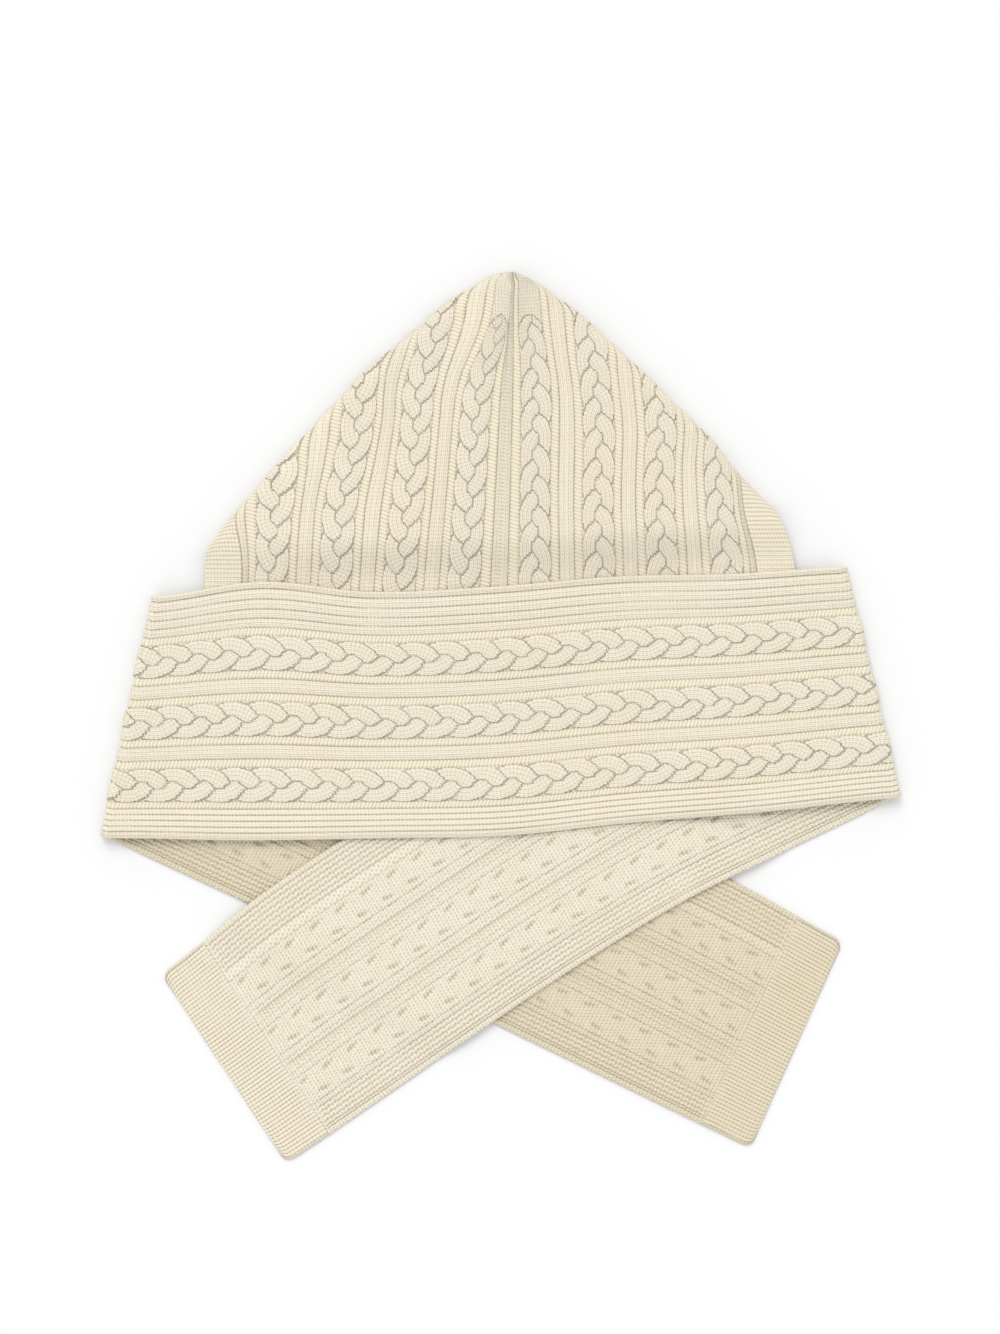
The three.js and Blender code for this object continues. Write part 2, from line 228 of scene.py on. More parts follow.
# bulge of the folded flanks from the tip down, as shares of the depth: left, right
flankRows = [(0, 0), (.038, .011), (.068, .021), (.083, .011), (.078, .004), (.064, -.032),
             (.051, -.041), (.013, -.003), (0, 0)]
# left half, right half
hoodHalves = {
    "stretch": (.978, 1.025),
    "gather": (.07, .11),
    "corner": (.155, .27),
    "neck": (0, .06),
}
foldRadius = knit["thickness"] + hood["foldHollow"]
quarterTurn = foldRadius * math.pi / 2
tuckDepth = hood["neckInset"] + hood["neckMargin"]
neckY = float(band.point(np.array(.5), np.array(strip["width"] / 2))[1]) - hood["neckInset"]


def neckRise(x, y):
    across = np.exp(-((x - hood["neckX"]) / hood["neckLiftReach"])**2)
    steady = neckY - tuckDepth
    return hood["neckLift"] * across * smooth(steady - hood["neckLiftFade"], steady, y)


# the left tail lies over the right one
def crossingRise(x, y):
    offset = np.abs((np.stack([x, y], -1) - rightTail.start) @ rightTail.up)
    edge = strip["width"] / 2 + strip["crossingMargin"]
    return layerPitch * (1 - smooth(edge, edge + strip["crossingSlope"], offset))


# The part's origin is the middle of its outline, so the plan moves by what the packed
# right end rib shows
def planShift():
    half = strip["width"] / 2
    corners = np.array([rightTail.point(np.array(1.0), np.array(at)) for at in (-half, half)])
    low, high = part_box("right_end_rib")
    return np.array([high.x * 1000 - corners[:, 0].max(), low.y * 1000 - corners[:, 1].min()])


shift = planShift()
print("plan moved by", shift.round(3))


# A pattern is a list of features across the knit, from the upper edge down: kind, where it
# starts and where it ends, in millimetres from the middle line

stripFront = [
    ("roll", 110, 104.2), ("rib", 103.4, 95.4), ("rib", 94.6, 87), ("rib", 86.2, 79.2),
    ("rib", 78.4, 71.4), ("cord", 70.8, 64.2), ("plait", 64, 35), ("cord", 34.8, 28),
    ("plain", 27.2, 15.8), ("cord", 15, 8.2), ("plait", 8, -21), ("cord", -21.2, -28),
    ("plain", -28.8, -40.2), ("cord", -41, -47.8), ("plait", -48, -77), ("cord", -77.2, -83),
    ("fineRib", -83.7, -88.4), ("fineRib", -88.9, -93.6), ("fineRib", -94.1, -98.8),
    ("fineRib", -99.3, -103.6), ("roll", -104.2, -110),
]
stripBack = [
    ("edge", 110, 104.4), ("fineRib", 103.8, 99.4), ("fineRib", 98.9, 94.5),
    ("fineRib", 94, 89.6), ("fineRib", 89.1, 84.7), ("fineRib", 84.2, 79.8),
    ("fineRib", 79.3, 74.9), ("bumps", 74.4, 64.5), ("pitted", 64, 35), ("bumps", 34.5, 28.4),
    ("ridge", 28, 24.2), ("groove", 24, 19.2), ("ridge", 19, 15.2), ("bumps", 14.8, 8.5),
    ("pitted", 8, -21), ("bumps", -21.5, -27.6), ("ridge", -28, -31.8), ("groove", -32, -37.2),
    ("ridge", -37.4, -41.2), ("bumps", -41.6, -47.5), ("pitted", -48, -77),
    ("bumps", -77.5, -82.6), ("fineRib", -83.1, -87.4), ("fineRib", -87.9, -92.2),
    ("fineRib", -92.7, -97), ("fineRib", -97.5, -101.2), ("fineRib", -101.7, -104),
    ("edge", -104.5, -110),
]
# Each kind's steps of the grid and stitches across it, thickness at its sides, rise to its
# middle, painted shade, more painted shade at its sides, and the share of its half where that
# starts.
# plait and pitted have functions of their own for the rest
kinds = {
    "roll": (6, 2, 3.1, 1.5, 0, .2, .78),
    "edge": (6, 2, 3.1, 1.1, .1, .2, .78),
    "rib": (6, 2, 3.4, .9, 0, 1.1, .66),
    "fineRib": (4, 1, 3.1, 1.2, 0, .7, .78),
    "cord": (5, 1, 3.5, .6, 1.05, .5, .78),
    "plain": (6, 3, 3.1, 1.5, 0, .8, .86),
    "bumps": (4, 2, 4, .5, 0, .15, .78),
    "ridge": (3, 1, 3.9, .6, .1, .2, .78),
    "groove": (3, 2, 3.4, -.5, .45, 0, .78),
    "end": (4, 1, 2.5, 1.1, 0, 1, .55),
    "plait": (24, 4),
    "pitted": (20, 9),
}
narrowPlain = 9             # a plain stretch under this width has two stitches
patternStep = 40            # keeps the stitch places of neighbouring features apart


# the hood's plaits, in millimetres from the seam
plaitCentres = (32, 89, 146, 203)
plaitHalf = 14.5


def hoodFeatures():
    found = [("plain", 0.7, 7.2), ("cord", 8, 17)]
    for centre in plaitCentres:
        found.append(("plait", centre - plaitHalf, centre + plaitHalf))
        if centre < plaitCentres[-1]:
            edge = centre + 14.7
            found += [("cord", edge, edge + 6.8), ("plain", edge + 7.6, edge + 19.9),
                      ("cord", edge + 20.7, edge + 27.6)]
    found += [("cord", 217.7, 224), ("rib", 224.6, 229.8)]
    return found


def endRibFeatures():
    start = strip["width"] / 2 - strip["endRound"]
    count = round(2 * start / strip["endPitch"])
    pitch = 2 * start / count
    found = [("edge", strip["width"] / 2, start + .2)]
    found += [("end", start - k * pitch - .25, start - (k + 1) * pitch + .25) for k in range(count)]
    return found + [("edge", -start - .2, -strip["width"] / 2)]


# places across the knit, with the feature that each belongs to
def acrossPlaces(features):
    at, owner = [], []
    for index, (kind, start, end) in enumerate(features):
        share = np.linspace(0, 1, kinds[kind][0] + 1)
        if kind in ("roll", "edge"):
            share = (1 - np.cos(np.pi * share)) / 2
        at += list(start + (end - start) * share)
        owner += [index] * len(share)
    return np.array(at), np.array(owner)


# crossing strands: height over the ground, stitch place, and how near a crease is, which sets the
# painted shade there
def plaitSurface(s, across):
    outside = -9.0
    best = np.full(s.shape, outside)
    second = np.full(s.shape, outside)
    column = np.zeros(s.shape)
    row = s / knit["rowHeight"]
    rim = np.ones(s.shape)
    for k in range(3):
        theta = 2 * np.pi * (s / plait["repeat"] + k / 3)
        slope = plait["sway"] * 2 * np.pi / plait["repeat"] * np.cos(theta)
        off = across - plait["sway"] * np.sin(theta)
        d = off / np.sqrt(1 + slope**2) / plait["half"]
        inside = np.abs(d) < 1
        top = np.where(inside, -plait["over"] * np.sin(2 * theta)
                       + plait["body"] * np.sqrt(np.clip(1 - np.abs(d)**3, 0, 1)), outside)
        foot = s + off * slope / (1 + slope**2)
        higher = top > best
        second = np.where(higher, best, np.maximum(second, top))
        column = np.where(higher, (d + 1) / 2 * plait["columns"] + 2 * plait["columns"] * k, column)
        row = np.where(higher, foot * plait["rowShare"] / knit["rowHeight"], row)
        rim = np.where(higher, np.abs(d), rim)
        best = np.where(higher, top, best)
    near = np.exp(-np.clip(best - second, 0, -outside) / plait["creaseDrop"])
    outer = smooth(*plait["outer"], np.abs(across))
    crease = np.clip(np.maximum(smooth(plait["rimFrom"], 1, rim), near), 0, 1)
    crease = crease * mixed(plait["innerShare"], 1, outer)
    return np.maximum(best, plait["floor"]), column, row, crease


# in two rows on the wrong side of a plait
pits = {
    "fromMiddle": 10.0,
    "lean": 0.2,            # towards the middle, for each millimetre along
    "halfWidth": 1.5,
    "deepens": (-2, 10),    # along the knit
    "ends": (13.5, 15),
    "depth": 2.4,
    # painted shade in the pits
    "paintedShade": 3.6,
    "base": 4.3,
    "bulge": 1.1,
    "sideDrop": 0.5,
}


# pits, deepest and with the most painted shade at their far end, and the bulge of the knit between
# them
def pitted(s, across):
    depth = np.zeros(s.shape)
    pitch = plait["repeat"] / 3
    for side in (-1, 1):
        a = np.mod(s - side * pitch / 4 + 3, pitch)
        line = side * (pits["fromMiddle"] - pits["lean"] * a)
        long = smooth(*pits["deepens"], a) * (1 - smooth(*pits["ends"], a))
        depth = np.maximum(depth, long * np.exp(-((across - line) / pits["halfWidth"])**2))
    bulge = .5 + .5 * np.cos(2 * np.pi * (s / pitch)) * np.cos(np.pi * across / plaitHalf)
    return depth, bulge


# thickness of the knit, stitch coordinates and painted shade in its creases and hollows on a grid
# of places
def knitSurface(features, owner, at, s):
    thickness = np.full(s.shape, knit["crease"])
    column = np.zeros(s.shape)
    row = s / knit["rowHeight"]
    paintedShade = np.zeros(s.shape)
    for index, (kind, start, end) in enumerate(features):
        mine = owner == index
        x = ((at - start) / (end - start) * 2 - 1)[mine][None, :] * np.ones((len(s), 1))
        part = s[:, mine]
        wide = 2 if kind == "plain" and abs(end - start) < narrowPlain else kinds[kind][1]
        first = patternStep * (index % 7)
        column[:, mine] = (x + 1) / 2 * wide + first
        if kind == "plait":
            height, strandColumn, strandRow, crease = plaitSurface(part, x * abs(end - start) / 2)
            thickness[:, mine] = plait["base"] + height
            column[:, mine] = strandColumn + first
            row[:, mine] = strandRow
            # painted shade in the plait's creases, and a little over all of it
            paintedShade[:, mine] = plait["paintedShade"] * crease + plait["shade"]
            continue
        if kind == "pitted":
            pit, bulge = pitted(part, x * abs(end - start) / 2)
            thickness[:, mine] = (pits["base"] + pits["bulge"] * bulge - pits["depth"] * pit
                                  - pits["sideDrop"] * smooth(.85, 1, np.abs(x)))
            # painted shade in the pits
            paintedShade[:, mine] = pits["paintedShade"] * pit
            continue
        base, rise, shade, sideShade, sideFrom = kinds[kind][2:]
        rounded = np.sqrt(np.clip(1 - x**(6 if kind == "plain" else 2), 0, 1))
        thickness[:, mine] = base + rise * rounded
        # painted shade, with more of it towards the sides where the features meet
        paintedShade[:, mine] = shade + sideShade * smooth(sideFrom, 1, np.abs(x))
        if kind == "cord":
            row[:, mine] += x * knit["cordSlant"]
        elif kind == "groove":
            # more painted shade down the middle of a groove
            paintedShade[:, mine] += knit["grooveShade"] * rounded
    return thickness, column, row, paintedShade


# slow waves of a hand-laid knit
def waves(x, y):
    return knit["wave"] * (np.sin(x / 31 + 1.3 * np.sin(y / 47)) * np.sin(y / 38 + .7)
                           + .6 * np.sin(x / 17 - y / 23) * np.sin(y / 61 + x / 79))


# fills both ends of a shell and splits each filling along the rungs between its skins
def closeEnds(shell, columns, ring, rungs):
    rim = [edge for edge in shell.edges if edge.is_boundary]
    made = bmesh.ops.holes_fill(shell, edges=rim, sides=0)
    number = shell.verts.layers.int["place"]
    byPlace = {vert[number]: vert for face in made["faces"] for vert in face.verts}
    for column in (0, columns - 1):
        for pair in rungs:
            a, b = (byPlace.get(column * ring + k) for k in pair)
            if a and b:
                wide = [face for face in a.link_faces if face in b.link_faces and not face.smooth]
                if wide and not shell.edges.get((a, b)):
                    bmesh.utils.face_split(wide[0], a, b)
    ends = [face for face in shell.faces if not face.smooth]
    bmesh.ops.triangulate(shell, faces=ends)


# The grid's first direction runs along the knit, and its second goes across the upper
# skin and back along the lower one. points, stitch and the painted shade are arrays on that grid
def knitShell(name, points, stitch, paintedShade, rungs):
    columns, ring = points.shape[:2]
    mesh = bpy.data.meshes.new(name)
    grid = bmesh.new()
    bmesh.ops.create_grid(grid, x_segments=columns - 1, y_segments=ring - 1, size=1)
    grid.to_mesh(mesh)
    grid.free()
    start = np.zeros(len(mesh.vertices) * 3)
    mesh.vertices.foreach_get("co", start)
    start = start.reshape(-1, 3)
    i = np.rint((start[:, 0] + 1) / 2 * (columns - 1)).astype(int)
    j = np.rint((start[:, 1] + 1) / 2 * (ring - 1)).astype(int)
    placed = points[i, j].copy()
    placed[:, :2] += shift
    mesh.vertices.foreach_set("co", (placed / 1000).ravel())
    corner = np.zeros(len(mesh.loops), np.int32)
    mesh.loops.foreach_get("vertex_index", corner)
    layer = mesh.uv_layers.new(name="stitches")
    layer.data.foreach_set("uv", stitch[i, j][corner].astype(np.float32).ravel())
    # the painted shade goes into the crease attribute, by which the wool is darkened
    shade = mesh.attributes.new("crease", "FLOAT", "POINT")
    shade.data.foreach_set("value", paintedShade[i, j].astype(np.float32))
    number = mesh.attributes.new("place", "INT", "POINT")
    number.data.foreach_set("value", (i * ring + j).astype(np.int32))
    shell = bmesh.new()
    shell.from_mesh(mesh)
    for face in shell.faces:
        face.smooth = True
    bmesh.ops.remove_doubles(shell, verts=shell.verts, dist=2e-6)
    closeEnds(shell, columns, ring, rungs)
    bmesh.ops.recalc_face_normals(shell, faces=shell.faces)
    shell.to_mesh(mesh)
    shell.free()
    mesh.attributes.remove(mesh.attributes["place"])
    piece = bpy.data.objects.new(name, mesh)
    bpy.context.scene.collection.objects.link(piece)
    return piece


# ring of places: the upper skin, then some of the same places along the lower skin.
# rungs are the pairs of ring places that lie over each other
def ringOf(at, step=8, closing=(0,)):
    count = len(at)
    lower = sorted({*range(0, count, step), 2, count - 3, count - 1}, reverse=True)
    if closing:
        lower = [k for k in lower if 0 < k < count - 1]
    ring = np.concatenate([at, at[lower], at[list(closing)]])
    upper = np.arange(len(ring)) < count
    rungs = [(k, count + n) for n, k in enumerate(lower)]
    return ring, upper, rungs


# heights of both skins over the underside, drawn together at the strip's edges
def stripHeights(thickness, ring, upper):
    edge = strip["width"] / 2
    reach = np.clip((edge - np.abs(ring)) / strip["edgeRound"], 0, 1)
    middle = strip["edgeLevel"]
    full = np.where(upper[None, :], thickness, 0)
    return middle + (full - middle) * roundedShare(reach)[None, :]


def spread(surface, count):
    return [np.concatenate([part, np.repeat(part[:, -1:], count, 1)], 1) for part in surface]


paleLine = {"sway": 1.8, "fades": (1.5, 8), "thickness": 4.0}


# endRound is the radius of the piece's last end, and paleAt is the station of the pale wavy
# line where a tail passes into its end rib
def stripPiece(name, features, station, place, patternAt, endRound=0, paleAt=None):
    at, owner = acrossPlaces(features)
    ring, upper, rungs = ringOf(at)
    under = len(ring) - len(at)
    stations = np.repeat(station[:, None], len(ring), 1)
    across = np.repeat(ring[None, :], len(station), 0)
    s = patternAt(stations, across)
    thickness, column, row, paintedShade = knitSurface(features, owner, at, s[:, :len(at)])
    if paleAt:
        away = np.abs(station - paleAt)[:, None] + paleLine["sway"] * np.sin(at / 5.5)[None, :]
        own = smooth(*paleLine["fades"], away)
        thickness = mixed(paleLine["thickness"], thickness, own)
        # no painted shade along the pale line
        paintedShade = paintedShade * own
    thickness, column, row, paintedShade = spread((thickness, column, row, paintedShade), under)
    column[:, len(at):] = across[:, len(at):] / knit["plainColumn"]
    row[:, len(at):] = s[:, len(at):] / knit["rowHeight"]
    heights = stripHeights(thickness, ring, upper)
    if endRound:
        near = np.clip(np.abs(station - station[-1]) / endRound, 0, 1)
        share = mixed(strip["endThin"], 1, roundedShare(near))[:, None]
        heights = strip["endLevel"] + (heights - strip["endLevel"]) * share
    points = place(stations, across, heights, upper[None, :])
    return knitShell(name, points, np.stack([column, row], -1), paintedShade, rungs)


# the band: flat between the folds, and turned under at both ends
def bandPlace(station, across, height, upper):
    half = strip["foldSpan"] / 2
    beyond = np.clip((np.abs(station) - half) / foldArc, 0, 1)
    share = np.clip(station / strip["foldSpan"] + .5, 0, 1)
    flat = band.point(share, across)
    middle, toUpper, length = band.section(share)
    away = np.stack([toUpper[..., 1], -toUpper[..., 0]], -1) * np.sign(station)[..., None]
    pressed = np.clip(2 * beyond - 1, 0, 1)
    height = np.where(upper, mixed(height, np.minimum(height, knit["thickness"]), pressed), height)
    radius = layerPitch + height - knit["thickness"] / 2
    angle = np.pi * beyond
    plan = flat + away * (radius * np.sin(angle))[..., None]
    loose = np.clip(height / knit["thickness"], 0, 1) * (1 - beyond)
    rise = neckRise(flat[..., 0], flat[..., 1]) + waves(flat[..., 0], flat[..., 1]) * loose
    z = bandLevel - layerPitch + radius * np.cos(angle) + rise * (beyond == 0)
    return np.concatenate([plan, z[..., None]], -1)


def bandPattern(station, across):
    half = strip["foldSpan"] / 2
    share = np.clip(station / strip["foldSpan"] + .5, 0, 1)
    along = band.distance(band.point(share, across)) - half
    return along + np.sign(station) * np.clip(np.abs(station) - half, 0, None)


def tailPlace(course, rise):
    def place(station, across, height, upper):
        radius = strip["cornerRound"]
        past = np.clip(station - course.length + radius, 0, radius)
        drawn = (radius - np.sqrt(radius**2 - past**2)) / (strip["width"] / 2)
        across = across * (1 - drawn * (np.abs(across) / (strip["width"] / 2))**4)
        plan = course.point(station / course.length, across)
        x, y = plan[..., 0], plan[..., 1]
        loose = np.clip(height / knit["thickness"], 0, 1)
        lift = rise(x, y) + np.maximum(waves(x, y), -.3) * loose
        return np.concatenate([plan, (lift + height)[..., None]], -1)
    return place


def tailPattern(course, sign):
    def pattern(station, across):
        along = course.distance(course.point(station / course.length, across))
        return sign * (strip["foldSpan"] / 2 + foldArc + along)
    return pattern


def halfValue(name, right):
    left, other = hoodHalves[name]
    return np.where(right, other, left)


def hoodReach(right, u, level):
    gathered = halfValue("gather", right) * level * (1 - np.exp(-u / hood["gatherReach"]))
    return halfValue("stretch", right) * u - gathered


def foldAngles(right):
    corner = halfValue("corner", right) * hood["height"]
    return np.arctan2(hood["height"] - corner, hoodReach(right, hood["depth"], corner))


def hoodPoint(right, u, level, inset):
    top = hood["height"]
    angle = foldAngles(right)
    fall = top - level
    across = hoodReach(right, u, level)
    along = across * np.cos(angle) + fall * np.sin(angle)
    past = across * np.sin(angle) - fall * np.cos(angle)
    target = along / np.tan(angle)
    limit = np.where(past > 0, along * np.tan(angle), target)
    turn = np.minimum(quarterTurn, .6 * limit)
    beyond = np.minimum(1, np.abs(past) / np.maximum(turn, 1e-9))
    depth = np.where(past > 0, np.maximum(inset, 0), inset)
    radius = foldRadius - depth
    bend = beyond * np.pi / 2
    flatStart = np.minimum(foldRadius, .6 * target)
    inward = flatStart * (1 - np.cos(bend))
    far = (np.abs(past) > turn) & (limit > turn)
    inward = inward + np.where(far, (np.abs(past) - turn) * (target - flatStart)
                               / np.maximum(limit - turn, 1e-9), 0)
    left, other = (hoodReach(side, u, top) / np.tan(foldAngles(side))
                   for side in (np.array(False), np.array(True)))
    own = np.where(right, other, left)
    match = np.where((past > 0) & (limit > 0),
                     1 + (past / np.maximum(limit, 1e-9))**2
                     * ((left + other) / 2 / np.maximum(own, 1e-9) - 1), 1)
    fromTip = (along * np.sin(angle) + inward * np.cos(angle)) * match
    tipShare = np.exp(-fromTip / hood["tipFade"])
    inward = inward + depth * (1 - tipShare) * np.cos(bend)
    side = (along * np.cos(angle) - inward * np.sin(angle)) * match
    drop = (along * np.sin(angle) + inward * np.cos(angle)) * match
    bulge = through(flankRows, drop / top)
    ofFlank = side * np.tan(angle) / np.maximum(drop, 1e-9)
    side = side + np.where(right, bulge[..., 1], bulge[..., 0]) * hood["depth"] * ofFlank**2
    tipDrop = depth * math.sqrt(2)
    rounded = (tipDrop - depth) * np.exp(-drop / hood["tipRounding"])
    height = top - np.hypot(drop, hood["tipRounding"]) - tipShare * (tipDrop - rounded)
    seamX = hood["neckX"] + math.tan(math.radians(hood["seamLean"])) * height
    x = seamX + np.where(right, 1, -1) * side
    y = neckY + height
    lift = radius * np.sin(bend)
    backLevel = 2 * foldRadius - knit["thickness"] / 2
    fromFold = inward / np.cos(angle) / math.sqrt(2)
    puffed = backLevel + hood["puff"] * (1 - np.exp(-(fromFold / hood["puffReach"])**2))
    tucked = bandLevel - knit["thickness"] - strip["pieceGap"] + neckRise(x, y)
    overNeck = height - halfValue("neck", right) * top * side / hood["depth"]
    middle = mixed(tucked, puffed, smooth(tuckDepth, hood["mouthRise"], overNeck))
    z = np.where(past > 0, foldRadius - lift,
                 foldRadius + lift + (middle - backLevel) * np.sin(bend))
    return np.stack([x, y, z], -1), bend * np.where(past > 0, 0, 1)


# One grid for the hood: t runs from the left neck edge over the top to the right one
def hoodGrid(ring, steps):
    t = np.linspace(-1, 1, steps + 1)
    right = np.repeat((t > 0)[:, None], len(ring), 1)
    u = np.repeat(ring[None, :], len(t), 0)
    neck = halfValue("neck", right) * hood["height"] * u / hood["depth"]
    level = hood["height"] - np.abs(t)[:, None] * (hood["height"] - neck)
    return t, right, u, neck, level


# The knit's columns draw together under the peak. Each row gives, for a way down from the
# tip, where the columns of columnMarks lie, in millimetres from the seam
columnMarks = [0, 17.5, 46.5, 75, 104, 132, 161, 189, 218, 230]
columnBlend = 12
leftColumns = {
    0: [0, .5, 8, 36, 60, 85, 115, 150, 200, 230],
    20: [0, .5, 13, 42, 64, 90, 118, 152, 205, 230],
    40: [0, .5, 18, 49, 70, 93, 120, 155, 207, 230],
    72: [0, 1.5, 23, 54.5, 76.5, 98, 124, 158, 210, 230],
    97: [0, 11.5, 34.3, 61.7, 82, 104, 128, 162, 212, 230],
    125: [0, 16.5, 44, 68.8, 92.8, 110, 134, 166, 214, 230],
    156: [0, 17.5, 46, 70, 94, 114, 138, 170, 215, 230],
    181: [0, 17.5, 46.5, 71, 97.6, 119, 144.6, 174, 215.5, 230],
    226: [0, 17.5, 46.5, 72.5, 100.5, 129, 156, 180, 210, 230],
    280: columnMarks,
}
rightColumns = {
    0: [0, 8, 30, 60, 92, 122, 152, 185, 217, 230],
    20: [0, 11, 35, 66, 97, 127, 157, 187, 217.5, 230],
    40: [0, 13, 39, 71, 100, 130, 160, 188.5, 218, 230],
    72: [0, 14.5, 43, 74, 103, 132, 161, 189, 218, 230],
    97: [0, 18, 47.5, 76, 104.5, 133, 162, 190, 218, 230],
    125: [0, 19, 52, 81, 109, 136, 164, 191, 218, 230],
    156: [0, 19, 51, 82, 111, 138.5, 166, 192.5, 219, 230],
    181: [0, 19, 49.5, 82.5, 112, 140, 168, 194, 220, 230],
    226: [0, 18.5, 48, 79.5, 108.5, 137.5, 166.5, 196, 222, 230],
    280: [0, 18, 47, 77, 106, 133.5, 162.5, 190.5, 219, 230],
}


def drawnTogether(right, at, fall):
    placed = np.zeros(at.shape)
    for mine, table in ((~right, leftColumns), (right, rightColumns)):
        downs = list(table)
        rows = np.array([table[down] for down in downs], float)
        for way in (-columnBlend, 0, columnBlend):
            bent = [np.interp(fall + way, downs, column) for column in rows.T]
            share = np.zeros(at.shape)
            for k in range(len(columnMarks) - 1):
                low, high = columnMarks[k:k + 2]
                inside = (at >= low) & (at <= high)
                part = bent[k] + (bent[k + 1] - bent[k]) * (at - low) / (high - low)
                share = np.where(inside, part, share)
            placed += np.where(mine, share / 3, 0)
    return placed


def hoodKnit():
    features = hoodFeatures()
    at, owner = acrossPlaces(features)
    at = np.concatenate([[0], at, [hood["depth"] - hood["trimWidth"]]])
    owner = np.concatenate([[-1], owner, [-1]])
    ring, upper, rungs = ringOf(at, closing=())
    back = ring[len(at):]
    t, right, u, neck, level = hoodGrid(ring, hood["steps"])
    v = np.sign(t)[:, None] * (hood["height"] - level)
    s = -v
    u = drawnTogether(right, u, np.abs(s))
    thickness, column, row, paintedShade = knitSurface(features, owner, at, s[:, :len(at)])
    # the first plaits run out into plain knit under the peak
    fall = np.abs(s[:, :len(at)])
    fromPlait = np.abs(at - plaitCentres[0])[None, :]
    arch = hood["peakArch"] * (fromPlait / plaitHalf)**2
    first, last = hood["plainPeak"]
    plainPeak = (1 - smooth(first + arch, last + arch, fall)) * (fromPlait < plaitHalf + .1)
    thickness = mixed(thickness, hood["peakThickness"], plainPeak)
    column = np.where(plainPeak > .5, u[:, :len(at)] / knit["plainColumn"], column)
    row = np.where(plainPeak > .5, s[:, :len(at)] / knit["rowHeight"], row)
    paintedShade = paintedShade * (1 - plainPeak)
    # where the columns run into the seam, their relief and painted shade go
    width = np.gradient(u[:, :len(at)], axis=1) / np.maximum(np.gradient(at), 1e-6)[None, :]
    crushed = 1 - smooth(*hood["crushed"], width)
    thickness = mixed(thickness, hood["crushedThickness"], crushed)
    paintedShade = paintedShade * (1 - crushed)
    seam = np.exp(-(u[:, :len(at)] / hood["seamHalf"])**2)
    thickness = mixed(thickness, knit["thickness"] - hood["seamDent"], seam)
    # painted shade along the dent of the seam
    seamShade = mixed(*hood["seamShade"], smooth(*hood["seamFades"], fall))
    paintedShade = np.maximum(paintedShade, seam * seamShade)
    free = smooth(hood["neckInset"] - .5, tuckDepth + 1, (level - neck)[:, :len(at)])
    inset = knit["thickness"] - thickness
    inset = np.where(inset < 0, inset * free, inset)
    inset = np.concatenate([inset, np.full((len(t), len(back)), knit["thickness"])], 1)
    points, facing = hoodPoint(right, u, level, inset)
    points[..., 2] = np.maximum(points[..., 2], knit["floorGap"])
    fromSeam = points[..., 0] - hood["neckX"] - (points[..., 1] - neckY) * math.tan(
        math.radians(hood["seamLean"]))
    points[..., 0] += hood["seamSway"] * np.sin(facing) * np.exp(-(fromSeam / hood["swayReach"])**2)
    settle = smooth(tuckDepth, 3 * tuckDepth, level - neck) * np.sin(facing)
    points[..., 2] += waves(points[..., 0], points[..., 1]) * settle
    under = len(back)
    thickness, column, row, paintedShade = spread((thickness, column, row, paintedShade), under)
    column[:, len(at):] = back[None, :] / knit["plainColumn"]
    row[:, len(at):] = s[:, len(at):] / knit["rowHeight"]
    paintedShade[:, len(at):] = 0
    return knitShell("hoodKnit", points, np.stack([column, row], -1), paintedShade, rungs)


faceTrim = {
    "pitch": 3.9,           # from one rib to the next
    "depth": 1.1,           # of the grooves between the ribs
    "thickness": 4.0,
    "edgeRound": 3.0,       # radius of the edge at the face
    "gap": 0.1,             # between the trim and the hood
    "steps": 1320,
}


def trimKnit():
    inner = hood["depth"] - hood["trimWidth"] + faceTrim["gap"]
    outer = np.concatenate([[inner, inner + 1.2], np.linspace(inner + 3, hood["depth"] - 3, 9),
                            hood["depth"] - np.array([2, 1.2, .5, .15, 0])])
    count = len(outer)
    lower = [count - 3, count - 5, count - 7, count - 10, 2, 0]
    ring = np.concatenate([outer, outer[lower], [inner]])
    upper = (np.arange(len(ring)) < count) | (np.arange(len(ring)) == len(ring) - 1)
    rungs = [(k, count + n) for n, k in enumerate(lower)]
    t, right, u, neck, level = hoodGrid(ring, faceTrim["steps"])
    v = np.sign(t)[:, None] * (hood["height"] - level)
    wave = np.cos(2 * np.pi * v / faceTrim["pitch"])
    near = np.clip((hood["depth"] - u) / faceTrim["edgeRound"], 0, 1)
    free = smooth(tuckDepth, 2 * tuckDepth, level - neck)
    top = (faceTrim["depth"] * (.5 - .5 * wave)) * free
    inset = np.where(upper[None, :], top, faceTrim["thickness"])
    inset = faceTrim["thickness"] / 2 + (inset - faceTrim["thickness"] / 2) * roundedShare(near)
    points, facing = hoodPoint(right, u, level, inset)
    points[..., 2] = np.maximum(points[..., 2], knit["floorGap"])
    # painted shade in the grooves between the trim's ribs
    paintedShade = np.where(upper[None, :], smooth(.2, 1, -wave) * .75, 0)
    stitch = np.stack([v / faceTrim["pitch"] + .5, u / 3.0], -1)
    return knitShell("faceTrimKnit", points, stitch, paintedShade, rungs)


# steps along each knit, and how far its closer stations stand from a tail's last end
# and from the cut between its body and its ribbed end
gridSteps = {"band": 347, "tail": 299, "endRib": 31}
beforeEnd = np.array([2, 1.2, .5, .1, 0])
beforeCut = np.array([7, 5.6, 4.2, 3, 2, 1.2, .6, .2, .05])
afterCut = np.array([.05, .25, .6, 1.1, 2])

print("hood")
hoodPiece = hoodKnit()
trimPiece = trimKnit()

print("scarf strip")
halfSpan = strip["foldSpan"] / 2 + foldArc
bandStations = np.linspace(-halfSpan, halfSpan, gridSteps["band"] + 1)
bandPiece = stripPiece("bandKnit", stripFront, bandStations, bandPlace, bandPattern)


